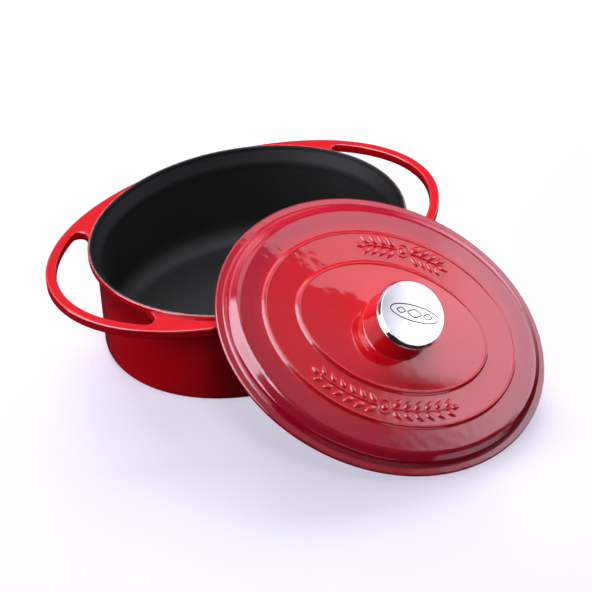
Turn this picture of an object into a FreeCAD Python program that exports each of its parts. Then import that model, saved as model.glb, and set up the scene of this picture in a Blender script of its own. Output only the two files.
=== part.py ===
"""Oval cast-iron casserole with a loop-handled pot and a separate stepped lid.

Every sub-part is its own body. Sizes are in millimetres, +Z is up, and the
origin is the centre of the pot's flat bottom, with +X along the handles.
"""
import math
import os

import FreeCAD
import Part
import Sketcher

V = FreeCAD.Vector
Z_AXIS = V(0, 0, 1)
X_AXIS = V(1, 0, 0)

doc = FreeCAD.newDocument("casserole")
sheet = doc.addObject("Spreadsheet::Sheet", "dims")
values = {}


def cell(alias, value):
    """Put one driving dimension in the sheet and give it its name."""
    row = len(values) + 1
    sheet.set("A%d" % row, alias)
    sheet.set("B%d" % row, str(value))
    sheet.setAlias("B%d" % row, alias)
    values[alias] = float(value)


def cells(table):
    for alias, value in table.items():
        cell(alias, value)


# ---------------------------------------------------------------- dimensions
cells({
    # pot
    "pot_half_length": 145.0,
    "pot_half_width": 115.2,
    "pot_height": 102.5,
    "floor_half_length": 112.0,
    "floor_half_width": 82.2,
    "floor_thickness": 5.2,
    # handle flange, one plate all round the rim
    "flange_half_length": 185.2,
    "flange_half_width": 116.1,
    "flange_drop": 3.3,
    "flange_thickness": 9.5,
    "flange_top_round": 1.6,
    "flange_bottom_round": 2.6,
    "finger_half_length": 176.3,
    "finger_half_width": 108.5,
    "finger_start": 127.0,
    "finger_corner": 6.5,
    "bore_low_drop": 14.0,
    "bore_low_inset": 9.6,
    "bore_high_drop": 2.0,
    "bore_high_inset": 1.8,
    # lid
    "lid_half_length": 146.2,
    "lid_half_width": 116.1,
    "dome_base_up": 19.3,
    "ceiling_up": 14.6,
    "centre_half_length": 80.6,
    "centre_half_width": 50.4,
    "boss_foot_radius": 28.6,
    "boss_foot_up": 21.2,
    "boss_foot_round": 2.2,
    "boss_toe": 4.5,
    "boss_toe_up": 20.6,
    "boss_top_round": 1.0,
    "boss_top_radius": 25.4,
    "boss_top_up": 44.0,
    "core_foot_radius": 21.0,
    "core_top_radius": 18.5,
    "core_round": 3.0,
    "boss_web": 7.4,
    "spigot_bore_radius": 6.9,
    "spigot_bore_depth": 3.4,
    "screw_hole_radius": 3.4,
    "bump_radius": 2.6,
    "bump_length": 2.8,
    "bump_row_long": 62.0,
    "bump_row_wide": 35.0,
    # lid pose: leaning on the near side of the pot
    "lid_x": 36.07,
    "lid_y": -154.05,
    "lid_z": 74.55,
    "lid_yaw": 3.66,
    "lid_tilt": 34.54,
    "lid_spin": -38.65,
    # knob and its fixing
    "knob_radius": 29.0,
    "knob_shoulder_radius": 28.2,
    "knob_top_radius": 26.7,
    "knob_foot_radius": 25.8,
    "knob_swell_up": 3.5,
    "knob_swell_round": 1.2,
    "knob_shoulder_up": 6.0,
    "knob_shoulder_round": 2.4,
    "knob_edge_round": 0.6,
    "knob_thickness": 8.5,
    "seat_ring_radius": 24.2,
    "seat_ring_bore": 7.2,
    "seat_ring_thickness": 0.8,
    "spigot_radius": 6.6,
    "spigot_length": 3.0,
    "tap_radius": 3.05,
    "tap_depth": 9.2,
    "screw_radius": 3.0,
    "screw_length": 16.0,
    "screw_tip_round": 0.6,
    "screw_head_radius": 6.0,
    "screw_head_height": 3.6,
    "screw_head_round": 1.8,
    "cross_half_length": 3.0,
    "cross_half_width": 0.75,
    "cross_depth": 1.9,
    "washer_radius": 9.0,
    "washer_bore": 3.2,
    "washer_thickness": 1.4,
    "lock_radius": 5.4,
    "lock_bore": 3.15,
    "lock_thickness": 1.5,
    "lock_turn": 352.0,
})

# Wall section of the pot: inset from the rim oval, height, corner radius.
# "drop" heights are measured down from the rim.
POT_SECTION = [
    ("floor_lower", 42.0, 0.0, 0.0, False),
    ("bottom_edge", 7.6, 0.0, 7.5, False),
    ("flare_start", 6.8, 12.5, 5.0, True),
    ("lip_lower", 0.0, 5.2, 1.6, True),
    ("lip_upper", 0.0, 0.0, 1.3, True),
    ("rim_inner", 3.6, 0.0, 0.9, True),
    ("seat_upper", 4.3, 3.0, 4.0, True),
    ("seat_lower", 11.3, 13.5, 9.0, True),
    ("floor_edge", 12.2, 5.2, 16.0, False),
    ("floor_upper", 42.0, 5.2, 0.0, False),
]

# Section of the lid's ring: inset from the edge oval, height, corner radius.
LID_SECTION = [
    ("edge_lower", 0.0, 0.0, 1.0, False),
    ("edge_upper", 0.0, 3.4, 1.3, False),
    ("edge_inner", 6.6, 3.8, 1.8, False),
    ("shoulder_low", 8.6, 9.8, 4.2, False),
    ("shoulder_top", 15.5, 14.2, 7.0, False),
    ("band_inner", 34.0, 15.3, 0.9, False),
    ("relief_outer", 36.0, 16.9, 0.9, False),
    ("relief_inner", 61.0, 17.6, 0.9, False),
    ("dome_edge", 63.2, 19.3, 0.9, False),
    ("dome_join", 68.0, 19.3, 0.0, False),
    ("ceiling_join", 68.0, 14.6, 0.0, False),
    ("ceiling_outer", 37.0, 11.6, 3.0, False),
    ("hollow_shoulder", 20.4, 9.6, 5.0, False),
    ("skirt_inner", 18.4, 0.0, 4.0, False),
    ("skirt_lower_in", 18.0, -12.0, 1.3, False),
    ("skirt_lower_out", 14.0, -12.0, 2.2, False),
    ("skirt_upper", 8.6, 0.0, 0.8, False),
]

for section in (POT_SECTION, LID_SECTION):
    for point, inset, height, radius, from_rim in section:
        cell(point + "_in", inset)
        cell(point + ("_drop" if from_rim else "_up"), height)
        if radius:
            cell(point + "_round", radius)
doc.recompute()


# ------------------------------------------------------------------- helpers
def plane(body, role):
    for feature in body.Origin.OriginFeatures:
        if feature.Role == role:
            return feature
    raise ValueError(role)


def new_body(name, placement=None):
    body = doc.addObject("PartDesign::Body", name)
    body.Label = name
    if placement is not None:
        body.Placement = placement
    doc.recompute()
    return body


def new_sketch(body, name, role, lift=None):
    """Sketch on one of the body's origin planes, lifted by an expression."""
    sketch = body.newObject("Sketcher::SketchObject", name)
    sketch.AttachmentSupport = (plane(body, role), [""])
    sketch.MapMode = "FlatFace"
    if lift is not None:
        sketch.setExpression("AttachmentOffset.Base.z", lift)
    return sketch


def drive(sketch, constraint, expression, label):
    index = sketch.addConstraint(constraint)
    sketch.renameConstraint(index, label)
    sketch.setExpression("Constraints." + label, expression)


def oval_sketch(body, name, half_length, half_width, lift=None):
    """Centred ellipse whose half axes follow two expressions."""
    sketch = new_sketch(body, name, "XY_Plane", lift)
    long_half = evaluate(half_length)
    short_half = evaluate(half_width)
    sketch.addGeometry(Part.Ellipse(V(long_half, 0, 0), V(0, short_half, 0), V(0, 0, 0)), False)
    sketch.exposeInternalGeometry(0)
    sketch.addConstraint(Sketcher.Constraint("Coincident", 0, 3, -1, 1))
    sketch.addConstraint(Sketcher.Constraint("Horizontal", 1))
    drive(sketch, Sketcher.Constraint("Distance", 1, 2 * long_half),
          "2 * (" + half_length + ")", "long_axis")
    drive(sketch, Sketcher.Constraint("Distance", 2, 2 * short_half),
          "2 * (" + half_width + ")", "short_axis")
    return sketch


def evaluate(expression):
    """Value of an expression, through a spare cell of the sheet's document."""
    return float(sheet.evalExpression(expression))


def rounded_section(body, name, role, corners):
    """Closed section from corners (x expression, y expression, radius alias or None).

    Each corner is a construction point held by the sheet. The straight sides
    run through those points, and a tangent arc rounds each corner.
    """
    sketch = new_sketch(body, name, role)
    count = len(corners)
    points = [V(evaluate(x), evaluate(y), 0) for x, y, _ in corners]
    radii = [values[alias] if alias else 0.0 for _, _, alias in corners]
    starts, ends, arcs = [], [], []
    for i, corner in enumerate(points):
        back = points[i - 1] - corner
        ahead = points[(i + 1) % count] - corner
        back.normalize()
        ahead.normalize()
        half = back.getAngle(ahead) / 2
        trim = radii[i] / math.tan(half) if radii[i] else 0.0
        ends.append(corner + back * trim)
        starts.append(corner + ahead * trim)
        if not radii[i]:
            arcs.append(None)
            continue
        bisector = back + ahead
        bisector.normalize()
        centre = corner + bisector * (radii[i] / math.sin(half))
        left_turn = back.cross(ahead).z < 0
        first, last = (ends[i], starts[i]) if left_turn else (starts[i], ends[i])
        first_angle = math.atan2(first.y - centre.y, first.x - centre.x)
        last_angle = math.atan2(last.y - centre.y, last.x - centre.x)
        if last_angle < first_angle:
            last_angle += 2 * math.pi
        circle = Part.Circle(centre, Z_AXIS, radii[i])
        arcs.append((Part.ArcOfCircle(circle, first_angle, last_angle), left_turn))
    lines = []
    for i in range(count):
        lines.append(sketch.addGeometry(Part.LineSegment(starts[i], ends[(i + 1) % count]), False))
    marks = []
    for i, corner in enumerate(points):
        marks.append(sketch.addGeometry(Part.Point(corner), True))
        x, y, _ = corners[i]
        for kind, size, expression in (("DistanceX", corner.x, x), ("DistanceY", corner.y, y)):
            label = "%s_%d" % (kind[-1].lower(), i)
            if abs(size) < 1e-9:
                on_axis = -1 if kind == "DistanceY" else -2
                sketch.addConstraint(Sketcher.Constraint("PointOnObject", marks[i], 1, on_axis))
            elif size > 0:
                drive(sketch, Sketcher.Constraint(kind, -1, 1, marks[i], 1, size), expression, label)
            else:
                drive(sketch, Sketcher.Constraint(kind, marks[i], 1, -1, 1, -size),
                      "-(" + expression + ")", label)
    for i in range(count):
        before, after = lines[i - 1], lines[i]
        if arcs[i] is None:
            sketch.addConstraint(Sketcher.Constraint("Coincident", before, 2, marks[i], 1))
            sketch.addConstraint(Sketcher.Constraint("Coincident", after, 1, marks[i], 1))
            continue
        sketch.addConstraint(Sketcher.Constraint("PointOnObject", marks[i], 1, before))
        sketch.addConstraint(Sketcher.Constraint("PointOnObject", marks[i], 1, after))
        arc = sketch.addGeometry(arcs[i][0], False)
        near, far = (1, 2) if arcs[i][1] else (2, 1)
        sketch.addConstraint(Sketcher.Constraint("Tangent", before, 2, arc, near))
        sketch.addConstraint(Sketcher.Constraint("Tangent", after, 1, arc, far))
        drive(sketch, Sketcher.Constraint("Radius", arc, radii[i]),
              "<<dims>>." + corners[i][2], "r_%d" % i)
    doc.recompute()
    return sketch


def section_corners(section, half_length):
    corners = []
    for point, inset, height, radius, from_rim in section:
        x = "<<dims>>.%s - <<dims>>.%s_in" % (half_length, point)
        if from_rim:
            y = "<<dims>>.pot_height - <<dims>>.%s_drop" % point
        else:
            y = "<<dims>>.%s_up" % point
        corners.append((x, y, point + "_round" if radius else None))
    return corners


def feature(body, kind, name, **settings):
    item = body.newObject("PartDesign::" + kind, name)
    for key, setting in settings.items():
        setattr(item, key, setting)
    return item


def revolved(name, placement, corners):
    """Body turned about its own Z axis from a section in the XZ plane."""
    body = new_body(name, placement)
    section = rounded_section(body, name + "_section", "XZ_Plane", corners)
    turn = feature(body, "Revolution", name + "_turned", Profile=section, Angle=360.0)
    turn.ReferenceAxis = (section, ["V_Axis"])
    doc.recompute()
    return body


def d(alias):
    return "<<dims>>." + alias


# ----------------------------------------------------------------------- pot
def swept_oval(body, name, section, half_length, half_width, reverse=False):
    """Ring whose section follows the outline oval all the way round."""
    path = oval_sketch(body, name + "_path", d(half_length), d(half_width))
    profile = rounded_section(body, name + "_section", "XZ_Plane",
                              section_corners(section, half_length))
    ring = feature(body, "AdditivePipe", name, Profile=profile, Spine=(path, ["Edge1"]),
                   Mode="Frenet")
    doc.recompute()
    return ring


def edges_at(shape, height):
    """Names of the edges that lie flat at one height."""
    names = []
    for number, edge in enumerate(shape.Edges, 1):
        box = edge.BoundBox
        if abs(box.ZMin - height) < 1e-3 and abs(box.ZMax - height) < 1e-3:
            names.append("Edge%d" % number)
    return names


def upright_edges(shape, x):
    """Names of the upright edges that stand at plus or minus x."""
    names = []
    for number, edge in enumerate(shape.Edges, 1):
        box = edge.BoundBox
        if box.ZLength > 1 and box.XLength < 1e-3 and abs(abs(box.XMax) - x) < 1e-2:
            names.append("Edge%d" % number)
    return names


def rounded(body, name, base, edges, radius):
    fillet = feature(body, "Fillet", name, Base=(base, edges))
    fillet.setExpression("Radius", radius)
    doc.recompute()
    return fillet


pot = new_body("pot")
flange_top = d("pot_height") + " - " + d("flange_drop")
flange_outline = oval_sketch(pot, "flange_outline", d("flange_half_length"),
                             d("flange_half_width"), flange_top)
flange = feature(pot, "Pad", "flange", Profile=flange_outline, Reversed=True)
flange.setExpression("Length", d("flange_thickness"))
doc.recompute()

for side, name in ((1, "right"), (-1, "left")):
    finger = new_sketch(pot, "finger_outline_" + name, "XY_Plane", flange_top)
    long_half = values["finger_half_length"]
    short_half = values["finger_half_width"]
    start = values["finger_start"]
    sweep = math.acos(start / long_half)
    middle = 0 if side > 0 else math.pi
    whole = Part.Ellipse(V(long_half, 0, 0), V(0, short_half, 0), V(0, 0, 0))
    finger.addGeometry(Part.ArcOfEllipse(whole, middle - sweep, middle + sweep), False)
    lower, upper = finger.Geometry[0].StartPoint, finger.Geometry[0].EndPoint
    finger.addGeometry(Part.LineSegment(upper, lower), False)
    finger.exposeInternalGeometry(0)
    finger.addConstraint(Sketcher.Constraint("Coincident", 0, 3, -1, 1))
    finger.addConstraint(Sketcher.Constraint("Coincident", 0, 2, 1, 1))
    finger.addConstraint(Sketcher.Constraint("Coincident", 1, 2, 0, 1))
    finger.addConstraint(Sketcher.Constraint("Vertical", 1))
    finger.addConstraint(Sketcher.Constraint("Horizontal", 2))
    drive(finger, Sketcher.Constraint("Distance", 2, 2 * long_half),
          "2 * " + d("finger_half_length"), "long_axis")
    drive(finger, Sketcher.Constraint("Distance", 3, 2 * short_half),
          "2 * " + d("finger_half_width"), "short_axis")
    ends = (-1, 1, 1, 1) if side > 0 else (1, 1, -1, 1)
    drive(finger, Sketcher.Constraint("DistanceX", *ends, start), d("finger_start"), "start")
    gap = feature(pot, "Pocket", "finger_gap_" + name, Profile=finger)
    gap.setExpression("Length", "2 * " + d("flange_thickness"))
    doc.recompute()

corners = rounded(pot, "finger_corners", gap, upright_edges(gap.Shape, values["finger_start"]),
                  d("finger_corner"))
top_height = values["pot_height"] - values["flange_drop"]
flange_upper = rounded(pot, "flange_upper_edge", corners, edges_at(corners.Shape, top_height),
                       d("flange_top_round"))
bottom_height = top_height - values["flange_thickness"]
flange_lower = rounded(pot, "flange_lower_edge", flange_upper,
                       edges_at(flange_upper.Shape, bottom_height), d("flange_bottom_round"))

bore_low = oval_sketch(pot, "bore_low", d("pot_half_length") + " - " + d("bore_low_inset"),
                       d("pot_half_width") + " - " + d("bore_low_inset"),
                       d("pot_height") + " - " + d("bore_low_drop"))
bore_high = oval_sketch(pot, "bore_high", d("pot_half_length") + " - " + d("bore_high_inset"),
                        d("pot_half_width") + " - " + d("bore_high_inset"),
                        d("pot_height") + " - " + d("bore_high_drop"))
feature(pot, "SubtractiveLoft", "flange_bore", Profile=bore_low, Sections=[bore_high], Ruled=True)
doc.recompute()
swept_oval(pot, "wall", POT_SECTION, "pot_half_length", "pot_half_width")
floor_outline = oval_sketch(pot, "floor_outline", d("floor_half_length"), d("floor_half_width"))
pot_floor = feature(pot, "Pad", "floor", Profile=floor_outline)
pot_floor.setExpression("Length", d("floor_thickness"))
doc.recompute()

# ----------------------------------------------------------------------- lid
lean = (FreeCAD.Rotation(Z_AXIS, values["lid_yaw"])
        * FreeCAD.Rotation(X_AXIS, values["lid_tilt"])
        * FreeCAD.Rotation(Z_AXIS, values["lid_spin"]))
lid_pose = FreeCAD.Placement(V(values["lid_x"], values["lid_y"], values["lid_z"]), lean)


def on_lid(height):
    """Placement of a piece that sits on the lid's axis at one height."""
    return lid_pose.multiply(FreeCAD.Placement(V(0, 0, height), FreeCAD.Rotation()))


lid = new_body("lid", lid_pose)
swept_oval(lid, "lid_ring", LID_SECTION, "lid_half_length", "lid_half_width")
centre_outline = oval_sketch(lid, "centre_outline", d("centre_half_length"),
                             d("centre_half_width"), d("ceiling_up"))
centre = feature(lid, "Pad", "centre", Profile=centre_outline)
centre.setExpression("Length", d("dome_base_up") + " - " + d("ceiling_up"))
doc.recompute()
DOME = ((0.0, 0.0), (0.12, 0.75), (0.30, 1.5), (0.52, 2.1), (0.76, 2.5))
dome_rings = []
for number, (share, rise) in enumerate(DOME):
    cell("dome_share_%d" % number, share)
    cell("dome_rise_%d" % number, rise)
    doc.recompute()
    scale = "(1 - %s) * " % d("dome_share_%d" % number)
    lift = d("dome_base_up") + " + " + d("dome_rise_%d" % number)
    dome_rings.append(oval_sketch(lid, "dome_ring_%d" % number, scale + d("centre_half_length"),
                                  scale + d("centre_half_width"), lift))
feature(lid, "AdditiveLoft", "dome", Profile=dome_rings[0], Sections=dome_rings[1:], Ruled=False)
doc.recompute()

boss_section = rounded_section(lid, "boss_section", "XZ_Plane", [
    ("0", d("ceiling_up"), None),
    (d("boss_foot_radius") + " + " + d("boss_toe"), d("ceiling_up"), None),
    (d("boss_foot_radius") + " + " + d("boss_toe"), d("boss_toe_up"), None),
    (d("boss_foot_radius"), d("boss_foot_up"), "boss_foot_round"),
    (d("boss_top_radius"), d("boss_top_up"), "boss_top_round"),
    ("0", d("boss_top_up"), None),
])
feature(lid, "Revolution", "boss", Profile=boss_section, Angle=360.0,
        ReferenceAxis=(boss_section, ["V_Axis"]))
core_section = rounded_section(lid, "core_section", "XZ_Plane", [
    ("0", d("ceiling_up") + " - 1", None),
    (d("core_foot_radius"), d("ceiling_up") + " - 1", None),
    (d("core_top_radius"), d("boss_top_up") + " - " + d("boss_web"), "core_round"),
    ("0", d("boss_top_up") + " - " + d("boss_web"), None),
])
feature(lid, "Groove", "boss_core", Profile=core_section, Angle=360.0,
        ReferenceAxis=(core_section, ["V_Axis"]))
bore_floor = d("boss_top_up") + " - " + d("spigot_bore_depth")
bore_section = rounded_section(lid, "bore_section", "XZ_Plane", [
    ("0", bore_floor + " - 8", None),
    (d("screw_hole_radius"), bore_floor + " - 8", None),
    (d("screw_hole_radius"), bore_floor, None),
    (d("spigot_bore_radius"), bore_floor, None),
    (d("spigot_bore_radius"), d("boss_top_up") + " + 1", None),
    ("0", d("boss_top_up") + " + 1", None),
])
feature(lid, "Groove", "screw_bore", Profile=bore_section, Angle=360.0,
        ReferenceAxis=(bore_section, ["V_Axis"]))
doc.recompute()

# Basting bumps: two oval rows that hang from the ceiling.
bumps = new_sketch(lid, "bump_circles", "XY_Plane", d("ceiling_up") + " + 0.4")
for row, count in ((1.0, 14), (0.66, 8)):
    for step in range(count):
        angle = 2 * math.pi * (step + 0.5) / count
        x = row * values["bump_row_long"] * math.cos(angle)
        y = row * values["bump_row_wide"] * math.sin(angle)
        bumps.addGeometry(Part.Circle(V(x, y, 0), Z_AXIS, values["bump_radius"]), False)
basting = feature(lid, "Pad", "basting_bumps", Profile=bumps, Reversed=True, TaperAngle=-24.0)
basting.setExpression("Length", d("bump_length") + " + 0.4")
doc.recompute()

# --------------------------------------------------------- knob and its fixing
seat_height = values["boss_top_up"]
knob_height = seat_height + values["seat_ring_thickness"]
web_height = seat_height - values["boss_web"]
lock_height = web_height - values["washer_thickness"] - values["lock_thickness"]

revolved("knob", on_lid(knob_height), [
    (d("tap_radius"), "0 - " + d("spigot_length"), None),
    (d("spigot_radius"), "0 - " + d("spigot_length"), None),
    (d("spigot_radius"), "0", None),
    (d("knob_foot_radius"), "0", "knob_edge_round"),
    (d("knob_radius"), d("knob_swell_up"), "knob_swell_round"),
    (d("knob_shoulder_radius"), d("knob_shoulder_up"), "knob_shoulder_round"),
    (d("knob_top_radius"), d("knob_thickness"), "knob_edge_round"),
    ("0", d("knob_thickness"), None),
    ("0", d("tap_depth") + " - " + d("spigot_length"), None),
    (d("tap_radius"), d("tap_depth") + " - " + d("spigot_length"), None),
])


def flat_ring(name, height, bore, radius, thickness, turn=360.0):
    body = new_body(name, on_lid(height))
    section = rounded_section(body, name + "_section", "XZ_Plane", [
        (d(bore), "0", None),
        (d(radius), "0", None),
        (d(radius), d(thickness), None),
        (d(bore), d(thickness), None),
    ])
    feature(body, "Revolution", name + "_turned", Profile=section, Angle=turn,
            ReferenceAxis=(section, ["V_Axis"]))
    doc.recompute()
    return body


flat_ring("seat_ring", seat_height, "seat_ring_bore", "seat_ring_radius", "seat_ring_thickness")
flat_ring("flat_washer", web_height - values["washer_thickness"], "washer_bore", "washer_radius",
          "washer_thickness")
flat_ring("lock_washer", lock_height, "lock_bore", "lock_radius", "lock_thickness",
          values["lock_turn"])

# Screw: its head's flat underside is at the body's origin, and the shank points up.
screw = revolved("knob_screw", on_lid(lock_height), [
    ("0", "0 - " + d("screw_head_height"), None),
    (d("screw_head_radius"), "0 - " + d("screw_head_height"), "screw_head_round"),
    (d("screw_head_radius"), "0", None),
    (d("screw_radius"), "0", None),
    (d("screw_radius"), d("screw_length"), "screw_tip_round"),
    ("0", d("screw_length"), None),
])
arm, half = d("cross_half_length"), d("cross_half_width")
cross_path = [(arm, half), (half, half), (half, arm)]
cross = []
for turn in range(4):
    for x, y in (cross_path if turn % 2 == 0 else cross_path[::-1]):
        sign_x = "" if turn in (0, 3) else "0 - "
        sign_y = "" if turn in (0, 1) else "0 - "
        cross.append((sign_x + x, sign_y + y, None))
recess = rounded_section(screw, "cross_section", "XY_Plane", cross)
recess.setExpression("AttachmentOffset.Base.z", "0 - " + d("screw_head_height"))
slot = feature(screw, "Pocket", "cross_recess", Profile=recess, Reversed=True)
slot.setExpression("Length", d("cross_depth"))
doc.recompute()

# -------------------------------------------------------------------- checks
NODES = ["pot", "lid", "knob", "seat_ring", "flat_washer", "lock_washer", "knob_screw"]
doc.recompute()
for item in doc.Objects:
    if "Invalid" in item.State or "Error" in item.State:
        raise RuntimeError(item.Name + " did not recompute: " + str(item.State))
os.makedirs("parts", exist_ok=True)
for name in NODES:
    shape = doc.getObject(name).Shape
    if shape.isNull() or not shape.isValid() or len(shape.Solids) != 1:
        raise RuntimeError(name + " has no single valid solid")
    shape.exportStep("parts/" + name + ".step")
    box = shape.BoundBox
    print(name, round(shape.Volume / 1000, 1), "cm3, size",
          round(box.XLength, 1), round(box.YLength, 1), round(box.ZLength, 1))
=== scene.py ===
"""Looks of the covered casserole dish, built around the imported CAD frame.

Lengths are in metres. The CAD solids keep their shapes and take procedural
materials. The raised sprays and step beads on the lid and the dark lines on
the knob are separate meshes that ride on the lid.
"""

import math

import bpy
from mathutils import Matrix, Vector


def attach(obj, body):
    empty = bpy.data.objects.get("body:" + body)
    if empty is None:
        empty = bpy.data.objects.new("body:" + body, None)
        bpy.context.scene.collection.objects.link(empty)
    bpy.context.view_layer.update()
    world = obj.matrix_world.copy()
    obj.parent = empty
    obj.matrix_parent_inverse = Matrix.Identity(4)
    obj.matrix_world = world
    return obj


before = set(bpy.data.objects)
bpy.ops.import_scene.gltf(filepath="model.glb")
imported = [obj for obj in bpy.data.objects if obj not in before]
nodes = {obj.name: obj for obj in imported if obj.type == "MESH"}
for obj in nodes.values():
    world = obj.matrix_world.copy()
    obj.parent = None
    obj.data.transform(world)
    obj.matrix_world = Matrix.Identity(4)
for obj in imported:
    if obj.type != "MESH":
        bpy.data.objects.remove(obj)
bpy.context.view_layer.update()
scene = bpy.context.scene
MM = 0.001


def in_mm(*pairs):
    """Pairs of millimetres, as metres."""
    return [(first * MM, second * MM) for first, second in pairs]


# ------------------------------------------------------------------ geometry
# Pot: half axes of the rim oval.
RIM_X, RIM_Y = 145.0 * MM, 115.2 * MM
# Lid: half axes of its edge oval, and its pose (centre of the edge plane).
LID_X, LID_Y = 146.2 * MM, 116.1 * MM
LID_AT = Vector((36.07, -154.05, 74.55)) * MM
LID_YAW, LID_TILT, LID_SPIN = (math.radians(v) for v in (3.66, 34.54, -38.65))
LID_TURN = (Matrix.Rotation(LID_YAW, 4, "Z") @ Matrix.Rotation(LID_TILT, 4, "X")
            @ Matrix.Rotation(LID_SPIN, 4, "Z"))
LID_POSE = Matrix.Translation(LID_AT) @ LID_TURN
# Height of the knob's flat top above the lid's edge plane.
KNOB_TOP = 53.3 * MM


def around(count):
    """Equal steps of angle round a full turn."""
    return [2 * math.pi * k / count for k in range(count)]


def oval(half_x, half_y, count, middle=0.0):
    """Flat oval as points, with its middle on the x axis."""
    return [Vector((middle + half_x * math.cos(t), half_y * math.sin(t)))
            for t in around(count)]


def inside_lid_edge(angle, inset):
    """Point in the lid's edge plane, that far inside its edge oval."""
    edge = Vector((LID_X * math.cos(angle), LID_Y * math.sin(angle), 0))
    outward = Vector((math.cos(angle) / LID_X, math.sin(angle) / LID_Y, 0)).normalized()
    return edge - outward * inset


# ---------------------------------------------------------------- node tools
# The Mix node's sockets for colours.
MIX_FACTOR, MIX_FIRST, MIX_SECOND, MIX_RESULT = 0, 6, 7, 2
# Keeps a division finite at an oval's middle.
LEAST_SLOPE = 1e-4


class Graph:
    """Short calls for building the nodes of a material or of the world."""

    def __init__(self, owner, output="OutputMaterial"):
        self.owner = owner
        self.output = output
        owner.use_nodes = True
        self.tree = owner.node_tree
        self.tree.nodes.clear()

    def node(self, kind, **settings):
        made = self.tree.nodes.new("ShaderNode" + kind)
        for key, value in settings.items():
            setattr(made, key, value)
        return made

    def join(self, source, target):
        if isinstance(source, (int, float, tuple)):
            target.default_value = source
        else:
            self.tree.links.new(source, target)

    def wire(self, kind, *values, **settings):
        """A node whose first inputs are these values. Gives its first output."""
        made = self.node(kind, **settings)
        for k, value in enumerate(values):
            self.join(value, made.inputs[k])
        return made.outputs[0]

    def maths(self, operation, *values):
        return self.wire("Math", *values, operation=operation)

    def length(self, x, y):
        return self.maths("SQRT", self.maths("ADD", self.maths("MULTIPLY", x, x),
                                             self.maths("MULTIPLY", y, y)))

    def invert(self, value):
        return self.maths("SUBTRACT", 1.0, value)

    def mix(self, factor, first, second):
        made = self.node("Mix", data_type="RGBA")
        self.join(factor, made.inputs[MIX_FACTOR])
        self.join(first, made.inputs[MIX_FIRST])
        self.join(second, made.inputs[MIX_SECOND])
        return made.outputs[MIX_RESULT]

    def ramp(self, value, start, end, low=0.0, high=1.0, kind="LINEAR"):
        """Goes from low to high as the value goes from start to end, and is
        flat beyond them."""
        made = self.node("MapRange", interpolation_type=kind)
        self.join(value, made.inputs["Value"])
        made.inputs["From Min"].default_value = start
        made.inputs["From Max"].default_value = end
        made.inputs["To Min"].default_value = low
        made.inputs["To Max"].default_value = high
        return made.outputs[0]

    def spread(self, factor, low, high):
        """A number that goes from low to high as the factor goes from 0 to 1."""
        return self.ramp(factor, 0.0, 1.0, low, high)

    def step(self, value, edge, width):
        """0 below the edge, 1 above it, over that width."""
        return self.ramp(value, edge - width / 2, edge + width / 2, kind="SMOOTHSTEP")

    def bent_line(self, value, points):
        """A line through (value, result) points, flat beyond its ends."""
        total = None
        for (x0, y0), (x1, y1) in zip(points, points[1:]):
            part = self.ramp(value, x0, x1, 0.0, y1 - y0)
            total = part if total is None else self.maths("ADD", total, part)
        return self.maths("ADD", total, points[0][1])

    def noise(self, place, scale, detail=2.0, roughness=0.5):
        made = self.node("TexNoise")
        self.join(place, made.inputs["Vector"])
        made.inputs["Scale"].default_value = scale
        made.inputs["Detail"].default_value = detail
        made.inputs["Roughness"].default_value = roughness
        return made.outputs["Fac"]

    def bump(self, height, distance, strength, normal=None):
        made = self.node("Bump")
        made.inputs["Strength"].default_value = strength
        made.inputs["Distance"].default_value = distance
        self.join(height, made.inputs["Height"])
        if normal is not None:
            self.join(normal, made.inputs["Normal"])
        return made.outputs[0]

    def split(self, place):
        made = self.node("SeparateXYZ")
        self.join(place, made.inputs[0])
        return made.outputs[:3]

    def place(self, pose=None):
        """Position in the row frame, or in the frame that the pose gives."""
        where = self.node("TexCoord").outputs["Object"]
        if pose is None:
            return where
        made = self.node("Mapping", vector_type="TEXTURE")
        self.join(where, made.inputs["Vector"])
        made.inputs["Location"].default_value = pose.to_translation()
        made.inputs["Rotation"].default_value = pose.to_euler()
        return made.outputs[0]

    def oval_inset(self, x, y, half_x, half_y):
        """How far a point lies inside an oval, near enough for masks."""
        first = self.maths("DIVIDE", x, half_x)
        second = self.maths("DIVIDE", y, half_y)
        reach = self.length(first, second)
        slope = self.length(self.maths("DIVIDE", first, half_x),
                            self.maths("DIVIDE", second, half_y))
        top = self.maths("MULTIPLY", self.invert(reach), reach)
        return self.maths("DIVIDE", top, self.maths("MAXIMUM", slope, LEAST_SLOPE))

    def shader(self, **sockets):
        made = self.node("BsdfPrincipled")
        for name, value in sockets.items():
            self.join(value, made.inputs[name.replace("_", " ")])
        return made.outputs[0]

    def finish(self, surface):
        out = self.node(self.output)
        self.join(surface, out.inputs["Surface"])
        return self.owner


def material_graph(name):
    return Graph(bpy.data.materials.new(name))


# ----------------------------------------------------------------- materials
RED = (0.620, 0.0012, 0.0090, 1.0)
RED_DEEP = (0.480, 0.0008, 0.0080, 1.0)
RED_THIN = (0.700, 0.0025, 0.0090, 1.0)
RED_RIM = (0.360, 0.0008, 0.0240, 1.0)
BLACK = (0.0100, 0.0105, 0.0105, 1.0)
BLACK_CLOUD = (0.0150, 0.0157, 0.0156, 1.0)
BLACK_FLECK = (0.060, 0.062, 0.062, 1.0)
# Painted shade: the blacker colour laid near the top of the pot's inside wall.
BLACK_PAINTED_SHADE = (0.0030, 0.0032, 0.0032, 1.0)
# Painted highlight: the paler colour laid on the floor's rounding inside the pot.
BLACK_PAINTED_SHEEN = (0.034, 0.035, 0.035, 1.0)
GREY_EDGE = (0.240, 0.225, 0.235, 1.0)
CHROME_DARK, CHROME_PALE = (0.72, 0.72, 0.73, 1.0), (0.80, 0.80, 0.805, 1.0)
FIBRE_DARK, FIBRE_PALE = (0.010, 0.010, 0.011, 1.0), (0.045, 0.043, 0.042, 1.0)
ZINC_DARK, ZINC_PALE = (0.50, 0.52, 0.54, 1.0), (0.68, 0.69, 0.68, 1.0)
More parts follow.
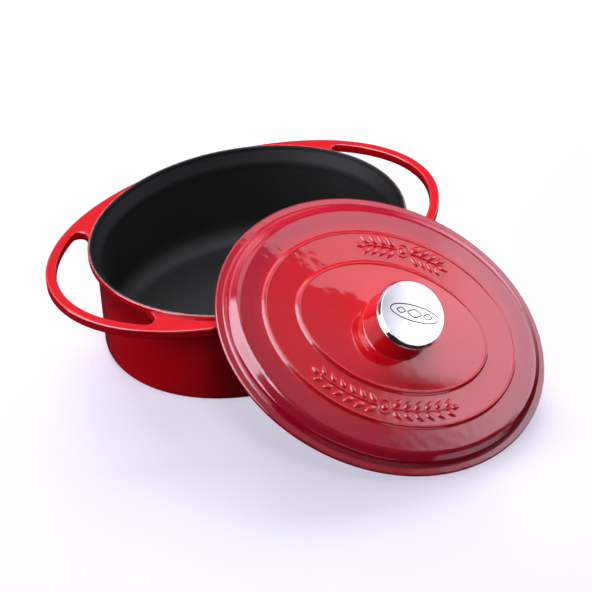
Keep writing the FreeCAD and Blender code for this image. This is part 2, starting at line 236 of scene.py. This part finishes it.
INLAY_DARK, INLAY_PALE = (0.010, 0.010, 0.012, 1.0), (0.030, 0.030, 0.033, 1.0)
GLASS_IOR = 1.5
# Share of the plain red that is laid over the clouded one.
RED_SHARE = 0.55
# How fast the knob's turning marks change along its axis, against across it.
TURNING_ALONG = 0.6

# Middle of the pot's wall, where black meets red: height, inset from the rim.
POT_MIDDLE = in_mm((2.4, 150.0), (2.8, 30.0), (3.6, 10.0), (90.0, 9.0),
                   (97.3, 3.0), (101.2, 2.0), (101.9, 0.9))
# Middle of the lid's wall: inset from its edge, height above the edge plane.
LID_MIDDLE = in_mm((5.0, 0.3), (8.5, 1.6), (14.0, 8.5), (20.0, 12.3),
                   (36.0, 13.2), (60.0, 15.0), (68.0, 16.8))
# How far the line between the pot's coats wanders, and how wide each line is.
POT_LINE_WANDER, POT_LINE_WIDTH, LID_LINE_WIDTH = 0.25 * MM, 0.35 * MM, 0.3 * MM
# The grey edge goes this far into the black, and fades over this width.
CHIPS_REACH, CHIPS_FADE = 0.9 * MM, 0.8 * MM
# The pot's inside by height: a band of painted shade near the top of the wall,
# and a painted highlight on the floor's rounding that also lightens the wall a little.
PAINTED_SHADE_BAND = [(82.0 * MM, 0.0), (90.0 * MM, 0.72)]
PAINTED_SHEEN_RING = [(5.0 * MM, 0.22), (7.0 * MM, 0.75), (16.0 * MM, 0.70),
             (28.0 * MM, 0.10), (80.0 * MM, 0.10), (88.0 * MM, 0.0)]
# The lid's darker, more crimson band near its edge, by inset from its edge.
DARKER_RIM_BAND = [(26.0 * MM, 0.72), (38.0 * MM, 0.0)]
# Everything inside the lid's boss, within this radius and height, is black.
HOLLOW_RADIUS, HOLLOW_UP = 23.0 * MM, 40.0 * MM


def red_enamel(g, place, rim=None):
    """Glossy vitreous enamel: depth of colour varies, orange peel in the gloss.
    The rim mask, where given, marks where it is darker and more crimson."""
    cloud = g.noise(place, scale=38.0, detail=3.0, roughness=0.55)
    grain = g.noise(place, scale=900.0)
    colour = g.mix(g.spread(cloud, low=0.15, high=0.85), RED_DEEP, RED_THIN)
    colour = g.mix(RED_SHARE, colour, RED)
    colour = g.mix(g.spread(grain, low=0.0, high=0.16), colour, RED_DEEP)
    if rim is not None:
        colour = g.mix(rim, colour, RED_RIM)
    wave = g.noise(place, scale=120.0, detail=1.0, roughness=0.4)
    peel = g.noise(place, scale=520.0, detail=1.5)
    under = g.bump(wave, distance=0.06 * MM, strength=0.6)
    under = g.bump(peel, distance=0.012 * MM, strength=0.7, normal=under)
    coat = g.bump(wave, distance=0.18 * MM, strength=0.6)
    coat = g.bump(peel, distance=0.010 * MM, strength=0.5, normal=coat)
    rough = g.spread(g.noise(place, scale=60.0), low=0.16, high=0.30)
    return g.shader(Base_Color=colour, Roughness=rough, IOR=GLASS_IOR,
                    Specular_IOR_Level=0.10, Coat_Weight=1.0, Coat_Roughness=0.04,
                    Coat_IOR=GLASS_IOR, Normal=under, Coat_Normal=coat)


def black_enamel(g, place, painted_shade=None, painted_sheen=None, chips=None):
    """Matt black enamel with fine pale flecks and a sandy tooth. One mask paints
    shade in as a blacker colour, another paints a grainy highlight in as a paler
    colour, and chips marks where its edge shows grey."""
    sand = g.noise(place, scale=1500.0, roughness=0.6)
    cloud = g.noise(place, scale=30.0, detail=3.0, roughness=0.6)
    fleck = g.step(g.noise(place, scale=2600.0, detail=1.0), edge=0.69, width=0.05)
    colour = g.mix(g.spread(cloud, low=0.0, high=0.5), BLACK, BLACK_CLOUD)
    colour = g.mix(fleck, colour, BLACK_FLECK)
    # Painted shade: blacker where this mask is set.
    if painted_shade is not None:
        colour = g.mix(painted_shade, colour, BLACK_PAINTED_SHADE)
    # Painted highlight: paler and grainy where this mask is set.
    if painted_sheen is not None:
        painted_sheen_colour = g.mix(g.spread(sand, low=0.2, high=0.8), BLACK_PAINTED_SHEEN, BLACK_FLECK)
        colour = g.mix(painted_sheen, colour, painted_sheen_colour)
    if chips is not None:
        speckle = g.step(g.noise(place, scale=1100.0, roughness=0.6), edge=0.47, width=0.16)
        colour = g.mix(g.maths("MULTIPLY", chips, speckle), colour, GREY_EDGE)
    pebble = g.noise(place, scale=520.0, roughness=0.65)
    normal = g.bump(sand, distance=0.06 * MM, strength=0.55)
    normal = g.bump(pebble, distance=0.22 * MM, strength=0.6, normal=normal)
    return g.shader(Base_Color=colour, Roughness=g.spread(sand, low=0.48, high=0.68),
                    IOR=GLASS_IOR, Specular_IOR_Level=0.12, Normal=normal)


def pot_enamel():
    """Black inside and on the rim's top, red on the rest."""
    g = material_graph("enamel_pot_finish")
    place = g.place()
    x, y, z = g.split(place)
    inset = g.oval_inset(x, y, RIM_X, RIM_Y)
    wander = g.spread(g.noise(place, scale=90.0), -POT_LINE_WANDER, POT_LINE_WANDER)
    past = g.maths("SUBTRACT", g.maths("ADD", inset, wander), g.bent_line(z, POT_MIDDLE))
    inside = g.step(past, 0.0, POT_LINE_WIDTH)
    chips = g.invert(g.step(past, CHIPS_REACH, CHIPS_FADE))
    # Inside: painted shade near the top of the wall, painted highlight on the floor's
    # rounding.
    black = black_enamel(g, place, g.bent_line(z, PAINTED_SHADE_BAND), g.bent_line(z, PAINTED_SHEEN_RING), chips)
    return g.finish(g.wire("MixShader", inside, red_enamel(g, place), black))


def lid_enamel():
    """Red outside, matt black underneath and in the boss."""
    g = material_graph("enamel_lid_finish")
    place = g.place(LID_POSE)
    x, y, z = g.split(place)
    inset = g.oval_inset(x, y, LID_X, LID_Y)
    above = g.maths("SUBTRACT", z, g.bent_line(inset, LID_MIDDLE))
    under = g.invert(g.step(above, 0.0, LID_LINE_WIDTH))
    hollow = g.maths("MULTIPLY", g.maths("LESS_THAN", g.length(x, y), HOLLOW_RADIUS),
                     g.maths("LESS_THAN", z, HOLLOW_UP))
    below = g.maths("MAXIMUM", under, hollow)
    red = red_enamel(g, place, g.bent_line(inset, DARKER_RIM_BAND))
    return g.finish(g.wire("MixShader", below, red, black_enamel(g, place)))


def polished_chrome():
    """Polished metal with faint turning marks and a slightly uneven shine."""
    g = material_graph("chrome_finish")
    place = g.place(LID_POSE)
    x, y, z = g.split(place)
    radial = g.wire("CombineXYZ", g.length(x, y), g.maths("MULTIPLY", z, TURNING_ALONG))
    turned = g.noise(radial, scale=2600.0, detail=3.0, roughness=0.6)
    smear = g.noise(place, scale=55.0, detail=3.0, roughness=0.6)
    return g.finish(g.shader(Base_Color=g.mix(smear, CHROME_DARK, CHROME_PALE), Metallic=1.0,
                             Roughness=g.spread(smear, low=0.045, high=0.11),
                             Normal=g.bump(turned, distance=0.0018 * MM, strength=0.6)))


def dull_fibre():
    """Dark pressed fibre."""
    g = material_graph("fibre_finish")
    strand = g.noise(g.place(LID_POSE), scale=1800.0, detail=4.0, roughness=0.7)
    return g.finish(g.shader(Base_Color=g.mix(strand, FIBRE_DARK, FIBRE_PALE),
                             Roughness=g.spread(strand, low=0.6, high=0.85),
                             Normal=g.bump(strand, distance=0.05 * MM, strength=0.6)))


def zinc_steel():
    """Bright zinc plate: slightly blue, with mottled roughness."""
    g = material_graph("zinc_finish")
    spangle = g.noise(g.place(LID_POSE), scale=700.0, detail=3.0, roughness=0.6)
    return g.finish(g.shader(Base_Color=g.mix(spangle, ZINC_DARK, ZINC_PALE), Metallic=1.0,
                             Roughness=g.spread(spangle, low=0.22, high=0.42),
                             Normal=g.bump(spangle, distance=0.02 * MM, strength=0.5)))


def dark_inlay():
    """Dark fired paint of the lines on the knob."""
    g = material_graph("inlay_finish")
    grain = g.noise(g.place(LID_POSE), scale=3000.0)
    return g.finish(g.shader(Base_Color=g.mix(grain, INLAY_DARK, INLAY_PALE),
                             Roughness=g.spread(grain, low=0.5, high=0.7),
                             Specular_IOR_Level=0.05))


def paint(name, material):
    """Puts the material in every slot of a CAD node."""
    target = nodes[name]
    if not target.material_slots:
        target.data.materials.append(material)
    for slot in target.material_slots:
        slot.material = material


lid_finish = lid_enamel()
paint("pot", pot_enamel())
paint("lid", lid_finish)
paint("knob", polished_chrome())
paint("seat_ring", dull_fibre())
steel = zinc_steel()
for small in ("flat_washer", "lock_washer", "knob_screw"):
    paint(small, steel)


# -------------------------------------------------------------- mesh helpers
# Cross-section of a raised shape: how square its shoulders are, how round.
STROKE_SHOULDER, PAD_SHOULDER, CROWN_ROUND = 3.2, 3.0, 0.6
PAD_RINGS = 7
# A leaf's width at its root, against an oval's, and how much it loses to its tip.
LEAF_FULL, LEAF_TAPER, LEAF_POINTS = 1.12, 0.45, 40


def add_mesh(name, points, faces, material):
    mesh = bpy.data.meshes.new(name)
    mesh.from_pydata([tuple(p) for p in points], [], faces)
    mesh.materials.append(material)
    made = bpy.data.objects.new(name, mesh)
    scene.collection.objects.link(made)
    return made


def new_piece(name, parts, material):
    """One smooth piece on the lid, from parts that are points and faces."""
    points = []
    faces = []
    for some_points, some_faces in parts:
        base = len(points)
        points += some_points
        faces += [tuple(base + k for k in face) for face in some_faces]
    made = add_mesh(name, points, faces, material)
    for face in made.data.polygons:
        face.use_smooth = True
    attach(made, "lid")


def crown(out, shoulder, height, sink):
    """Height of a raised shape: full in its middle, sunk at its edge."""
    level = (1 - abs(out) ** shoulder) ** CROWN_ROUND
    return height * level - sink * (1 - level)


def stroke(path, half_width, height, sink, put, steps, closed=True):
    """Rounded bead swept along a flat path, laid where put(x, y, up) says.
    Returns points and faces."""
    points = []
    faces = []
    count = len(path)
    row = steps + 1
    for k, here in enumerate(path):
        before = path[k - 1] if closed or k else here
        after = path[(k + 1) % count] if closed or k + 1 < count else here
        run = (after - before).normalized()
        side = Vector((-run.y, run.x))
        for j in range(row):
            across = -1 + 2 * j / steps
            at = here + side * (half_width * across)
            points.append(put(at.x, at.y, crown(across, STROKE_SHOULDER, height, sink)))
    for k in range(count if closed else count - 1):
        near = k * row
        far = (k + 1) % count * row
        for j in range(steps):
            faces.append((near + j, far + j, far + j + 1, near + j + 1))
        faces.append((near + steps, far + steps, far, near))
    if not closed:
        last = (count - 1) * row
        faces.append(tuple(range(row)))
        faces.append(tuple(reversed(range(last, last + row))))
    return points, faces


def pad(outline, height, sink, put):
    """Crowned pad inside a flat outline, laid where put(x, y, up) says.
    Returns points and faces."""
    middle = sum(outline, Vector((0, 0))) / len(outline)
    points = [put(middle.x, middle.y, height)]
    faces = []
    count = len(outline)
    for ring in range(1, PAD_RINGS + 1):
        out = math.sin(ring / PAD_RINGS * math.pi / 2)
        for edge in outline:
            at = middle + (edge - middle) * out
            points.append(put(at.x, at.y, crown(out, PAD_SHOULDER, height, sink)))
    for k in range(count):
        after = (k + 1) % count
        faces.append((0, 1 + k, 1 + after))
        for ring in range(PAD_RINGS - 1):
            near = 1 + ring * count
            far = near + count
            faces.append((near + k, far + k, far + after, near + after))
    last = 1 + (PAD_RINGS - 1) * count
    faces.append(tuple(last + k for k in reversed(range(count))))
    return points, faces


def leaf(root, heading, length, width):
    """Outline of a pointed leaf that grows from root in that direction."""
    ahead = Vector((math.cos(heading), math.sin(heading)))
    side = Vector((-ahead.y, ahead.x))
    outline = []
    for turn in around(LEAF_POINTS):
        share = (1 - math.cos(turn)) / 2
        half = width / 2 * math.sin(turn) * (LEAF_FULL - LEAF_TAPER * share)
        outline.append(root + ahead * (length * share) + side * half)
    return outline


# ------------------------------------------------------------- lid's ornament
# The lid's sunken oval band: inset and height of its outer and inner edge.
BAND_OUTER, BAND_OUTER_UP = 36.0 * MM, 16.9 * MM
BAND_INNER, BAND_INNER_UP = 61.0 * MM, 17.6 * MM
# A flat layout is bent along the band in steps this long, this many each way.
BAND_PACE, BAND_REACH, BAND_PROBE = 0.25 * MM, 400, 1e-4
# How far the sprays stand up from the band, and reach down into it.
SPRAY_RISE, SPRAY_SINK = 1.5 * MM, 0.3 * MM
# Heights of the bud, the ring round it and the stem, as shares of a leaf's.
BUD_SHARE, RING_SHARE, STEM_SHARE = 1.1, 0.8, 0.75
BUD_RADIUS, BUD_POINTS = 3.4 * MM, 32
RING_GAP, RING_HALF_WIDTH, RING_POINTS = 2.0 * MM, 0.75 * MM, 56
# The leaves start this far from the bud's middle, and the stem a little before.
STEM_START, STEM_BACK, STEM_HALF_WIDTH, STEM_STEPS = 6.6 * MM, 0.8 * MM, 0.85 * MM, 30
# In pitches of the leaf pairs: where the first pair grows, and how far short of
# the last full pitch the stem and the whole spray end.
FIRST_PAIR, STEM_SHORT, SPRAY_SHORT = 0.1, 0.4, 0.35
LEAF_TURN, LEAF_SHRINK, LEAF_OFFSET = math.radians(44), 0.16, 1.3 * MM
# The leaf at the stem's tip: shares of a full leaf, and its overlap.
TIP_LENGTH, TIP_WIDTH, TIP_BACK = 0.8, 0.9, 0.3 * MM


def on_band(angle, inset, lift):
    """Point above the lid's sunken oval band, in the row frame."""
    share = (inset - BAND_OUTER) / (BAND_INNER - BAND_OUTER)
    level = BAND_OUTER_UP + share * (BAND_INNER_UP - BAND_OUTER_UP)
    return LID_POSE @ (inside_lid_edge(angle, inset) + Vector((0, 0, level + lift)))


def along_band(middle_angle, inset):
    """Maps flat x and y, in metres, onto the band: x runs along it."""
    angles = {0: middle_angle}
    for sign in (-1, 1):
        angle = middle_angle
        for k in range(1, BAND_REACH + 1):
            moved = on_band(angle + BAND_PROBE, inset, 0) - on_band(angle, inset, 0)
            angle += sign * BAND_PACE / (moved.length / BAND_PROBE)
            angles[sign * k] = angle

    def put(x, y, up):
        at = x / BAND_PACE
        low = math.floor(at)
        share = at - low
        angle = angles[low] * (1 - share) + angles[low + 1] * share
        return on_band(angle, inset + y, up)
    return put


def spray(name, middle_angle, inset, half_length, pairs, leaf_length, leaf_width):
    """A raised leafy spray: a stem both ways from a ringed bud, leaves in pairs."""
    put = along_band(middle_angle, inset)
    ring = BUD_RADIUS + RING_GAP
    pitch = (half_length - STEM_START - leaf_length) / (pairs - SPRAY_SHORT)
    stem_end = STEM_START + pitch * (pairs - STEM_SHORT)
    parts = [pad(oval(BUD_RADIUS, BUD_RADIUS, BUD_POINTS), SPRAY_RISE * BUD_SHARE,
                 SPRAY_SINK, put),
             stroke(oval(ring, ring, RING_POINTS), RING_HALF_WIDTH, SPRAY_RISE * RING_SHARE,
                    SPRAY_SINK, put, steps=8)]
    for way in (1, -1):
        forward = 0.0 if way > 0 else math.pi
        run = stem_end - STEM_START
        stem = [Vector((way * (STEM_START - STEM_BACK + run * k / STEM_STEPS), 0))
                for k in range(STEM_STEPS + 1)]
        parts.append(stroke(stem, STEM_HALF_WIDTH, SPRAY_RISE * STEM_SHARE, SPRAY_SINK, put,
                            steps=8, closed=False))
        for k in range(pairs):
            root = STEM_START + pitch * (k + FIRST_PAIR)
            size = 1.0 - LEAF_SHRINK * k / (pairs - 1)
            for side in (1, -1):
                blade = leaf(Vector((way * root, side * LEAF_OFFSET)),
                             forward + way * side * LEAF_TURN,
                             leaf_length * size, leaf_width * size)
                parts.append(pad(blade, SPRAY_RISE, SPRAY_SINK, put))
        tip = leaf(Vector((way * (stem_end - TIP_BACK), 0)), forward,
                   leaf_length * TIP_LENGTH, leaf_width * TIP_WIDTH)
        parts.append(pad(tip, SPRAY_RISE, SPRAY_SINK, put))
    new_piece(name, parts, lid_finish)


spray("ornament_far", math.radians(90.0), inset=47.5 * MM, half_length=46.0 * MM,
      pairs=4, leaf_length=12.0 * MM, leaf_width=6.6 * MM)
spray("ornament_near", math.radians(-90.0), inset=48.5 * MM, half_length=70.0 * MM,
      pairs=6, leaf_length=10.5 * MM, leaf_width=6.2 * MM)

# --------------------------------------------------------- beads on the steps
BEAD_HALF_WIDTH, BEAD_RISE, BEAD_SINK, BEAD_POINTS = 1.15 * MM, 0.50 * MM, 0.5 * MM, 360


def flat_on_lid(level):
    """Maps flat x and y onto the plane at that level above the lid's edge."""
    def put(x, y, up):
        return LID_POSE @ Vector((x, y, level + up))
    return put


def step_bead(name, inset, level):
    """Low rounded bead that the casting carries along the top of a step."""
    path = [inside_lid_edge(t, inset).to_2d() for t in around(BEAD_POINTS)]
    bead = stroke(path, BEAD_HALF_WIDTH, BEAD_RISE, BEAD_SINK, flat_on_lid(level), steps=8)
    new_piece(name, [bead], lid_finish)


step_bead("step_bead_outer", inset=36.6 * MM, level=16.9 * MM)
step_bead("step_bead_inner", inset=63.8 * MM, level=19.25 * MM)

# --------------------------------------------------------------- knob's lines
# Middle along the knob's long axis, half length and half width of the oval
# and of the lozenges in it.
KNOB_OVAL = (1.5 * MM, 20.5 * MM, 6.6 * MM)
KNOB_LOZENGES = [(-10.0 * MM, 3.6 * MM, 2.3 * MM), (1.5 * MM, 6.0 * MM, 3.4 * MM),
                 (13.0 * MM, 3.6 * MM, 2.3 * MM)]
KNOB_OVAL_POINTS, LOZENGE_POINTS = 128, 40
OVAL_HALF_LINE, LOZENGE_HALF_LINE = 0.58 * MM, 0.55 * MM
LINE_RISE, LINE_SINK = 0.12 * MM, 0.1 * MM
# 0 would give ovals, and 1 straight-sided lozenges.
LOZENGE_PINCH = 0.6


def knob_inlay():
    """Dark lines, barely raised, on the knob's flat top: a long oval round a
    chain of lozenges."""
    put = flat_on_lid(KNOB_TOP)
    middle, half_length, half_width = KNOB_OVAL
    parts = [stroke(oval(half_length, half_width, KNOB_OVAL_POINTS, middle),
                    OVAL_HALF_LINE, LINE_RISE, LINE_SINK, put, steps=4)]
    for middle, half_length, half_width in KNOB_LOZENGES:
        lozenge = []
        for t in around(LOZENGE_POINTS):
            x, y = math.cos(t), math.sin(t)
            lozenge.append(Vector((middle + half_length * x * abs(x) ** LOZENGE_PINCH,
                                   half_width * y * abs(y) ** LOZENGE_PINCH)))
        parts.append(stroke(lozenge, LOZENGE_HALF_LINE, LINE_RISE, LINE_SINK, put, steps=4))
    new_piece("knob_inlay", parts, dark_inlay())


knob_inlay()

# -------------------------------------------------------------------- camera
CAMERA_AT = Vector((-0.4572, -0.7801, 0.7761))
AZIMUTH, ELEVATION, ROLL = (math.radians(v) for v in (-32.96, 39.88, 1.23))
SENSOR_WIDTH, FOCAL_LENGTH = 36.0, 78.99
back = Vector((math.sin(AZIMUTH) * math.cos(ELEVATION),
               -math.cos(AZIMUTH) * math.cos(ELEVATION), math.sin(ELEVATION)))
right = Vector((math.cos(AZIMUTH), math.sin(AZIMUTH), 0))
up = back.cross(right)
side_axis = right * math.cos(ROLL) + up * math.sin(ROLL)
up_axis = up * math.cos(ROLL) - right * math.sin(ROLL)
camera = bpy.data.objects.new("camera", bpy.data.cameras.new("camera"))
camera.matrix_world = Matrix((
    (side_axis.x, up_axis.x, back.x, CAMERA_AT.x),
    (side_axis.y, up_axis.y, back.y, CAMERA_AT.y),
    (side_axis.z, up_axis.z, back.z, CAMERA_AT.z),
    (0, 0, 0, 1)))
camera.data.sensor_width = SENSOR_WIDTH
camera.data.lens = FOCAL_LENGTH
scene.collection.objects.link(camera)
scene.camera = camera

# --------------------------------------------------------------------- stage
FLOOR_DARK, FLOOR_PALE = (0.365, 0.357, 0.390, 1.0), (0.385, 0.378, 0.408, 1.0)
FLOOR_GLOW, FLOOR_GLOW_STRENGTH = (0.846, 0.808, 1.0, 1.0), 0.60
FLOOR_REACH = 9.0
DRUM_BASE = (0.02, 0.02, 0.02, 1.0)
DRUM_GLOW_DARK, DRUM_GLOW_PALE = (0.90, 0.89, 0.95, 1.0), (0.95, 0.94, 0.99, 1.0)
DRUM_GLOW_STRENGTH = 0.95
DRUM_RADIUS, DRUM_FOOT, DRUM_HEIGHT, DRUM_SIDES = 8.0, -0.01, 6.0, 96


def stage_mesh(name, points, faces, material, shadow):
    """A mesh that the camera sees, and gloss and bounced light don't."""
    made = add_mesh(name, points, faces, material)
    made.visible_glossy = False
    made.visible_diffuse = False
    made.visible_shadow = shadow


def floor():
    """A pale floor that glows a little, so that shadows on it stay light."""
    g = material_graph("floor_finish")
    tone = g.noise(g.place(), scale=1.4)
    material = g.finish(g.shader(Base_Color=g.mix(tone, FLOOR_DARK, FLOOR_PALE),
                                 Roughness=0.9, Specular_IOR_Level=0.1,
                                 Emission_Color=FLOOR_GLOW,
                                 Emission_Strength=FLOOR_GLOW_STRENGTH))
    r = FLOOR_REACH
    stage_mesh("floor", [(-r, -r, 0), (r, -r, 0), (r, r, 0), (-r, r, 0)], [(0, 1, 2, 3)],
               material, shadow=True)


def backdrop():
    """A pale paper drum far behind the floor on every side, seen directly only."""
    g = material_graph("backdrop_finish")
    tone = g.noise(g.place(), scale=0.8)
    material = g.finish(g.shader(Base_Color=DRUM_BASE, Roughness=0.9,
                                 Emission_Color=g.mix(tone, DRUM_GLOW_DARK, DRUM_GLOW_PALE),
                                 Emission_Strength=DRUM_GLOW_STRENGTH))
    ring = oval(DRUM_RADIUS, DRUM_RADIUS, DRUM_SIDES)
    points = [(at.x, at.y, height) for height in (DRUM_FOOT, DRUM_HEIGHT) for at in ring]
    faces = []
    for k in range(DRUM_SIDES):
        after = (k + 1) % DRUM_SIDES
        faces.append((k, after, DRUM_SIDES + after, DRUM_SIDES + k))
    stage_mesh("backdrop", points, faces, material, shadow=False)


floor()
backdrop()

# -------------------------------------------------------------------- lights
# Softboxes of the studio: azimuth, elevation, width and height in degrees,
# turn about the line of sight, brightness, softness of the edge.
SOFTBOXES = {
    "left_low": (184, 24, 58, 52, 0, 10.0, 0.08),
    "left_high": (205, 60, 62, 26, 8, 11.0, 0.10),
    "over_head": (0, 89, 34, 34, 0, 2.4, 0.16),
    "lid_patch": (-10, 56, 21, 26, -27, 3.0, 0.02),
    "far_left": (118, 50, 56, 26, 0, 3.0, 0.20),
    "far_low": (85, 14, 60, 26, 0, 0.7, 0.30),
    "right": (-26, 23, 34, 50, 0, 4.8, 0.16),
    "right_low": (8, 8, 44, 34, 0, 2.2, 0.22),
    "front_dim": (-55, 56, 20, 22, 0, 0.6, 0.25),
    "front_low": (-85, -9, 90, 10, 0, 1.8, 0.05),
}
SOFTBOX_COLOUR = (0.80, 0.79, 0.90, 1.0)
# The room round them: its colour at the bottom and top of this range of height.
ROOM_LOW, ROOM_HIGH = (0.020, 0.016, 0.022, 1.0), (0.16, 0.16, 0.18, 1.0)
ROOM_FROM, ROOM_TO = -0.2, 0.8
# A direction counts as in front of a softbox from this cosine up.
LEAST_FRONT = 0.05


def toward(azimuth, elevation):
    a, e = math.radians(azimuth), math.radians(elevation)
    return Vector((math.cos(a) * math.cos(e), math.sin(a) * math.cos(e), math.sin(e)))


def studio():
    """World light: a dim room with softboxes, painted by direction."""
    world = bpy.data.worlds.new("studio")
    world.cycles_visibility.diffuse = False
    scene.world = world
    g = Graph(world, "OutputWorld")
    outward = g.node("TexCoord").outputs["Generated"]

    def along(axis):
        made = g.node("VectorMath", operation="DOT_PRODUCT")
        g.join(outward, made.inputs[0])
        made.inputs[1].default_value = axis
        return made.outputs["Value"]

    def within(value, degrees, softness):
        half = math.tan(math.radians(degrees / 2))
        return g.ramp(g.maths("ABSOLUTE", value), half + softness / 2,
                      max(half - softness / 2, 0.0), kind="SMOOTHSTEP")

    total = None
    for azimuth, elevation, width, height, spin, power, softness in SOFTBOXES.values():
        ahead = toward(azimuth, elevation)
        across = Vector((0, 0, 1)).cross(ahead).normalized()
        turn = Matrix.Rotation(math.radians(spin), 3, ahead)
        across, upward = turn @ across, turn @ ahead.cross(across)
        depth = along(ahead)
        front = g.maths("MAXIMUM", depth, LEAST_FRONT)
        x = g.maths("DIVIDE", along(across), front)
        y = g.maths("DIVIDE", along(upward), front)
        mask = g.maths("MULTIPLY", within(x, width, softness), within(y, height, softness))
        mask = g.maths("MULTIPLY", mask, g.maths("GREATER_THAN", depth, LEAST_FRONT))
        glow = g.maths("MULTIPLY", mask, power)
        total = glow if total is None else g.maths("MAXIMUM", total, glow)

    room = g.mix(g.ramp(along((0, 0, 1)), ROOM_FROM, ROOM_TO), ROOM_LOW, ROOM_HIGH)
    g.finish(g.wire("AddShader", g.wire("Background", SOFTBOX_COLOUR, total),
                    g.wire("Background", room, 1.0)))


def hang(name, lamp, at, target):
    """Puts a light there, turned to its target and left out of reflections."""
    made = bpy.data.objects.new(name, lamp)
    made.location = at
    made.rotation_euler = (Vector(at) - Vector(target)).to_track_quat("Z", "Y").to_euler()
    made.visible_glossy = False
    made.visible_camera = False
    scene.collection.objects.link(made)


def area_light(name, at, target, width, height, power):
    """Soft light for the matt part of the surfaces; the softboxes that show
    in the gloss are painted in the studio."""
    lamp = bpy.data.lights.new(name, "AREA")
    lamp.shape = "RECTANGLE"
    lamp.size = width
    lamp.size_y = height
    lamp.energy = power
    hang(name, lamp, at, target)


def spot_light(name, at, target, cone, power, radius):
    """Soft-edged spot for the matt part of one surface."""
    lamp = bpy.data.lights.new(name, "SPOT")
    lamp.energy = power
    lamp.spot_size = math.radians(cone)
    lamp.spot_blend = 1.0
    lamp.shadow_soft_size = radius
    hang(name, lamp, at, target)


studio()
area_light("key", (0.8, 1.9, 2.3), (0, -0.05, 0), width=2.2, height=1.8, power=134)
area_light("top", (-0.1, 0.2, 3.0), (0, 0, 0), width=1.6, height=1.6, power=20)
area_light("room", (-0.9, -1.4, 2.2), (0, -0.05, 0), width=2.8, height=2.8, power=9)
area_light("left_fill", (-1.6, 0.5, 0.45), (0, 0, 0.05), width=0.9, height=0.7, power=15)
spot_light("lid_spot", (-0.10, -0.65, 0.95), (0.045, -0.115, 0.125), cone=29, power=26.0,
           radius=0.22)

scene.view_settings.view_transform = "Standard"
scene.view_settings.look = "None"
scene.view_settings.exposure = 0.0
